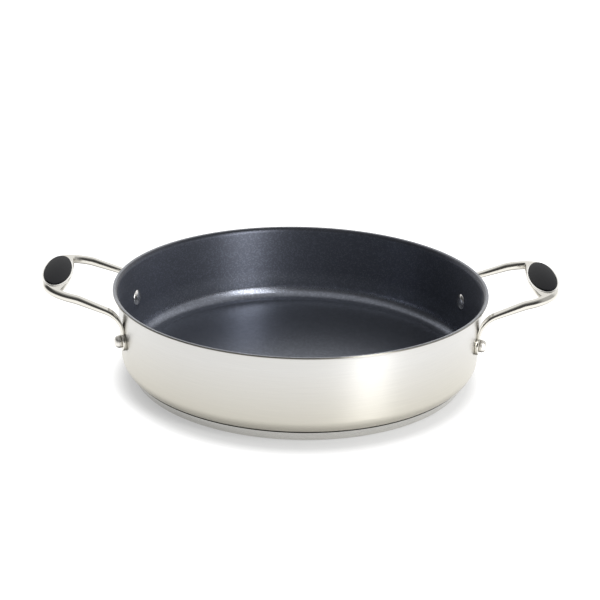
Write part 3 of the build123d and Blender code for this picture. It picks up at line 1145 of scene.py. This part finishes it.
    def lug(self, hand: int) -> tuple[list[Vector], Faces]:
        """The round foot under one rivet, its back curved to the wall.

        Args:
            hand: 1 for the far foot, -1 for the near one.

        Returns:
            Its points and faces.
        """
        low, high = self.section.film, self.section.film + self.foot_thickness
        around, round_edge = self.lug_steps
        centre = (self.lug_radius - self.lug_edge, high - self.lug_edge)
        edge = arc(centre, self.lug_edge, 0, 90, round_edge)
        back = [(self.lug_radius - self.lug_back[0], low), (self.lug_radius, low + self.lug_back[1])]
        rows = [(self.lug_core, low)] + back + edge + [(self.lug_core, high)]
        sag = 1 / self.rivet.wall_radius
        points = []
        for radius, level in rows:
            ring = self.rivet.ring(radius, level, around, sag)
            points += [Vector((p.x, p.y * hand, p.z)) for p in ring]
        return points, ring_faces(len(rows), around)

    def bezel(self) -> Object:
        """Builds the low rounded lip round the pad's seat, which catches the light.

        Returns:
            The bezel.
        """
        shares = np.linspace(0.0, 1.0, self.bezel_rows)
        lifts = [self.bezel_height * math.sin(math.pi * share) ** 0.5 for share in shares[1:-1]]
        points = []
        for share, lift in zip(shares, [self.bezel_feet[0], *lifts, self.bezel_feet[1]]):
            for turn in np.linspace(0.0, 2 * math.pi, self.bezel_steps, endpoint=False):
                x, y = math.cos(turn), math.sin(turn)
                base = Vector((self.pad_half_width * x, self.pad_half_length * y))
                away = Vector((self.pad_half_length * x, self.pad_half_width * y)).normalized()
                place = base + away * (self.bezel_width * share)
                points.append(self.on_plane(place.x, place.y, lift))
        faces = ring_faces(self.bezel_rows, self.bezel_steps, closed=True)
        return dressed(self.placed(f"pad_bezel_{self.side.word}", points, faces), BEZEL_STEEL)

    def placed(self, name: str, points: Sequence[Vector], faces: Faces) -> Object:
        """Makes a mesh and turns it to this handle's side."""
        sign = self.side.value
        return Mesher(name).build(np.array([(p.x * sign, p.y * sign, p.z) for p in points]), faces)

    def build(self) -> Object:
        """Builds the casting as one object: the loop and its two round feet.

        Returns:
            The loop.
        """
        half = [self.ring(station) for station in self.arm()[:-1] + self.grip()]
        rings = half + [[Vector((p.x, -p.y, p.z)) for p in ring] for ring in half[-2::-1]]
        points = [point for ring in rings for point in ring]
        faces = ring_faces(len(rings), len(rings[0]))
        for more, sides in (self.lug(1), self.lug(-1)):
            faces += [tuple(len(points) + k for k in face) for face in sides]
            points += more
        made = self.placed(f"cast_loop_{self.side.word}", points, faces)
        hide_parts(f"handle_{self.side.word}")
        return dressed(made, CAST_STEEL)


@dataclass
class CastHandles:
    """The two cast loops with their pads and rivets."""

    def build(self) -> list[Object]:
        """Builds the rivets, the castings and their bezels, and dresses the pads.

        Returns:
            All pieces.
        """
        pieces = Rivets().build()
        for side in Side:
            loop = LoopHandle(side)
            pieces += [loop.build(), loop.bezel()]
            pieces.append(dressed(frame["nodes"][f"grip_pad_{side.word}"], SILICONE))
        return pieces


@dataclass(frozen=True)
class RoomPanel:
    """A soft-edged upright panel of the room: a lit screen, or the unlit dark behind the camera.

    Headings start at the camera's side and turn towards +X; heights are above the horizon.
    """

    heading_deg: float
    half_width_deg: float
    low_deg: float
    high_deg: float
    level: float
    blur_deg: float = 12.0

    def share(self, tree: NodeTree, flat: Source, height: Source) -> Node:
        """Adds the nodes that say how much of this panel a direction sees.

        Args:
            tree: World's node tree.
            flat: Direction with its height taken out, of length 1.
            height: Angle above the horizon, in radians.

        Returns:
            A value, 0 outside the panel and 1 well inside it.
        """
        turn, blur = math.radians(self.heading_deg), math.radians(self.blur_deg)
        facing = Vector((math.sin(turn), -math.cos(turn), 0.0))
        dot = add_node(tree, "VectorMath", {"operation": "DOT_PRODUCT", 1: facing}, {0: flat})
        aside = add_node(tree, "Math", {"operation": "ARCCOSINE"}, {0: dot.outputs["Value"]})
        middle = math.radians(self.low_deg + self.high_deg) / 2
        away = add_node(tree, "Math", {"operation": "SUBTRACT", 1: middle}, {0: height})
        apart = add_node(tree, "Math", {"operation": "ABSOLUTE"}, {0: away})
        halves = math.radians(self.half_width_deg), math.radians(self.high_deg - self.low_deg) / 2
        soft: dict[Any, Source] = {}
        for key, (angle, half) in enumerate(zip((aside, apart), halves)):
            window = {"interpolation_type": "SMOOTHSTEP", "From Min": half + blur, "From Max": half - blur}
            soft[key] = add_node(tree, "MapRange", window, {"Value": angle})
        return add_node(tree, "Math", {"operation": "MULTIPLY"}, soft)


@dataclass
class Studio:
    """White sweep, surroundings, lamp and camera."""

    floor_half_m: float = 30.0
    floor_colour: str = "#a0a0a0"
    # What the sweep adds for the camera and for mirrors, by distance from the glow's centre in metres; lower
    # near the pan, a painted shadow round its foot
    glow_steps: tuple[Point, ...] = ((0.129, 0.4), (0.137, 0.47), (0.143, 0.64), (0.149, 0.86), (0.156, 1.1))
    glow_centre_m: Point3 = (-0.001, -0.010, 0.0)  # the painted shadow is pushed to the front, as the back light pushes the shade
    room_level: float = 0.55
    panels: tuple[RoomPanel, ...] = (
        RoomPanel(heading_deg=180.0, half_width_deg=75.0, low_deg=-20.0, high_deg=48.0, level=1.05),
        RoomPanel(heading_deg=-40.0, half_width_deg=84.0, low_deg=2.0, high_deg=46.0, level=0.06),
    )
    lamp_m: Point3 = (0.73, -0.90, 0.92)
    lamp_size_m: Point = (0.40, 1.80)
    lamp_watts: float = 17.0
    camera_mm: Point3 = (-23.41, -1031.67, 453.67)
    aim_mm: Point3 = (-1.24, -36.30, 72.73)
    roll_deg: float = 1.22
    lens_mm: float = 82.148
    sensor_mm: float = 36.0
    clip_end_m: float = 100.0

    def sweep(self) -> None:
        """Lays the pale floor, which reads as plain white paper and keeps the pan's soft shadow, with a
        painted shadow round its foot.
        """
        corners = np.array([(-1, -1, 0), (1, -1, 0), (1, 1, 0), (-1, 1, 0)])
        made = Mesher("sweep").build(corners * self.floor_half_m / MM, [(0, 1, 2, 3)])
        paper = bpy.data.materials.new("white_sweep_paper")
        paper.use_nodes = True
        tree = paper.node_tree
        tree.nodes.clear()
        matte = add_node(tree, "BsdfDiffuse", {"Color": linear(self.floor_colour)})
        path = add_node(tree, "LightPath")
        seen: Source = path.outputs["Is Camera Ray"]
        for ray in ("Is Glossy Ray", "Is Transmission Ray"):
            seen = add_node(tree, "Math", {"operation": "MAXIMUM"}, {0: seen, 1: path.outputs[ray]})
        reach = {"operation": "DISTANCE", 1: self.glow_centre_m}
        aside = add_node(tree, "VectorMath", reach, {0: position(tree)[0]}).outputs["Value"]
        greys = [(distance, (level, level, level, 1.0)) for distance, level in self.glow_steps]
        # the glow is lower near the pan: a painted shadow round its foot
        glow = add_node(tree, "ValToRGB", {"stops": greys}, {0: aside})
        lift = add_node(tree, "Math", {"operation": "MULTIPLY"}, {0: seen, 1: glow})
        light = add_node(tree, "Emission", {"Color": (1, 1, 1, 1)}, {"Strength": lift})
        both = add_node(tree, "AddShader", links={0: matte, 1: light})
        add_node(tree, "OutputMaterial", links={"Surface": both})
        made.data.materials.append(paper)

    def surroundings(self) -> None:
        """Paints the room round the table: pale, a white screen at the back, dark behind the camera."""
        world = bpy.data.worlds.new("studio")
        bpy.context.scene.world = world
        world.use_nodes = True
        tree = world.node_tree
        tree.nodes.clear()
        seen = add_node(tree, "TexCoord").outputs["Generated"]
        parts = add_node(tree, "SeparateXYZ", links={0: seen}).outputs
        height = add_node(tree, "Math", {"operation": "ARCSINE"}, {0: parts["Z"]})
        level = add_node(tree, "CombineXYZ", links={0: parts["X"], 1: parts["Y"]})
        flat = add_node(tree, "VectorMath", {"operation": "NORMALIZE"}, {0: level})
        mixed: dict[Any, Source] = {}
        for panel in self.panels:
            links = {0: panel.share(tree, flat, height), **mixed}
            mixed = {"A": add_node(tree, "Mix", {"A": self.room_level, "B": panel.level}, links)}
        back = add_node(tree, "Background", {"Color": (1, 1, 1, 1)}, {"Strength": mixed["A"]})
        add_node(tree, "OutputWorld", links={"Surface": back})

    def softbox(self, shaded: Sequence[Object]) -> None:
        """Hangs the strip softbox upright at the right, facing the pan.

        Args:
            shaded: Pieces that a flag keeps it off.
        """
        lamp = bpy.data.lights.new("right_strip_softbox", "AREA")
        lamp.shape = "RECTANGLE"
        lamp.size, lamp.size_y = self.lamp_size_m
        lamp.energy = self.lamp_watts
        made = bpy.data.objects.new(lamp.name, lamp)
        made.location = self.lamp_m
        facing = Vector((-self.lamp_m[0], -self.lamp_m[1], 0.0))
        made.rotation_euler = facing.to_track_quat("-Z", "Y").to_euler()
        bpy.context.scene.collection.objects.link(made)
        flag = bpy.data.collections.new(f"{lamp.name}_flag")
        for piece in shaded:
            flag.objects.link(piece)
        made.light_linking.receiver_collection = flag
        for entry in flag.collection_objects:
            entry.light_linking.link_state = "EXCLUDE"

    def camera(self) -> None:
        """Sets the camera where the photograph was taken from."""
        lens = bpy.data.cameras.new("photo_camera")
        lens.lens = self.lens_mm
        lens.sensor_width = self.sensor_mm
        lens.clip_end = self.clip_end_m
        made = bpy.data.objects.new("photo_camera", lens)
        place, aim = Vector(self.camera_mm) * MM, Vector(self.aim_mm) * MM
        turn = (aim - place).to_track_quat("-Z", "Y").to_matrix().to_4x4()
        roll = Matrix.Rotation(math.radians(self.roll_deg), 4, "Z")
        made.matrix_world = Matrix.Translation(place) @ turn @ roll
        bpy.context.scene.collection.objects.link(made)
        bpy.context.scene.camera = made

    def build(self, shaded: Sequence[Object]) -> None:
        """Sets up the whole studio.

        Args:
            shaded: Pieces that the lamp is flagged off.
        """
        bpy.context.scene.view_settings.view_transform = "Standard"
        self.sweep()
        self.surroundings()
        self.softbox(shaded)
        self.camera()


def main() -> None:
    """Builds the pan, then the studio."""
    logging.basicConfig(level=logging.INFO, format="%(name)s: %(message)s")
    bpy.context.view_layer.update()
    pieces: list[Object] = []
    for part in (PanBody(), CapsuleBase(), CastHandles()):
        pieces += part.build()
    Studio().build([piece for piece in pieces if piece.name.startswith(("cast_loop", "pad_bezel"))])
    bpy.context.view_layer.update()


if __name__ == "__main__":
    main()
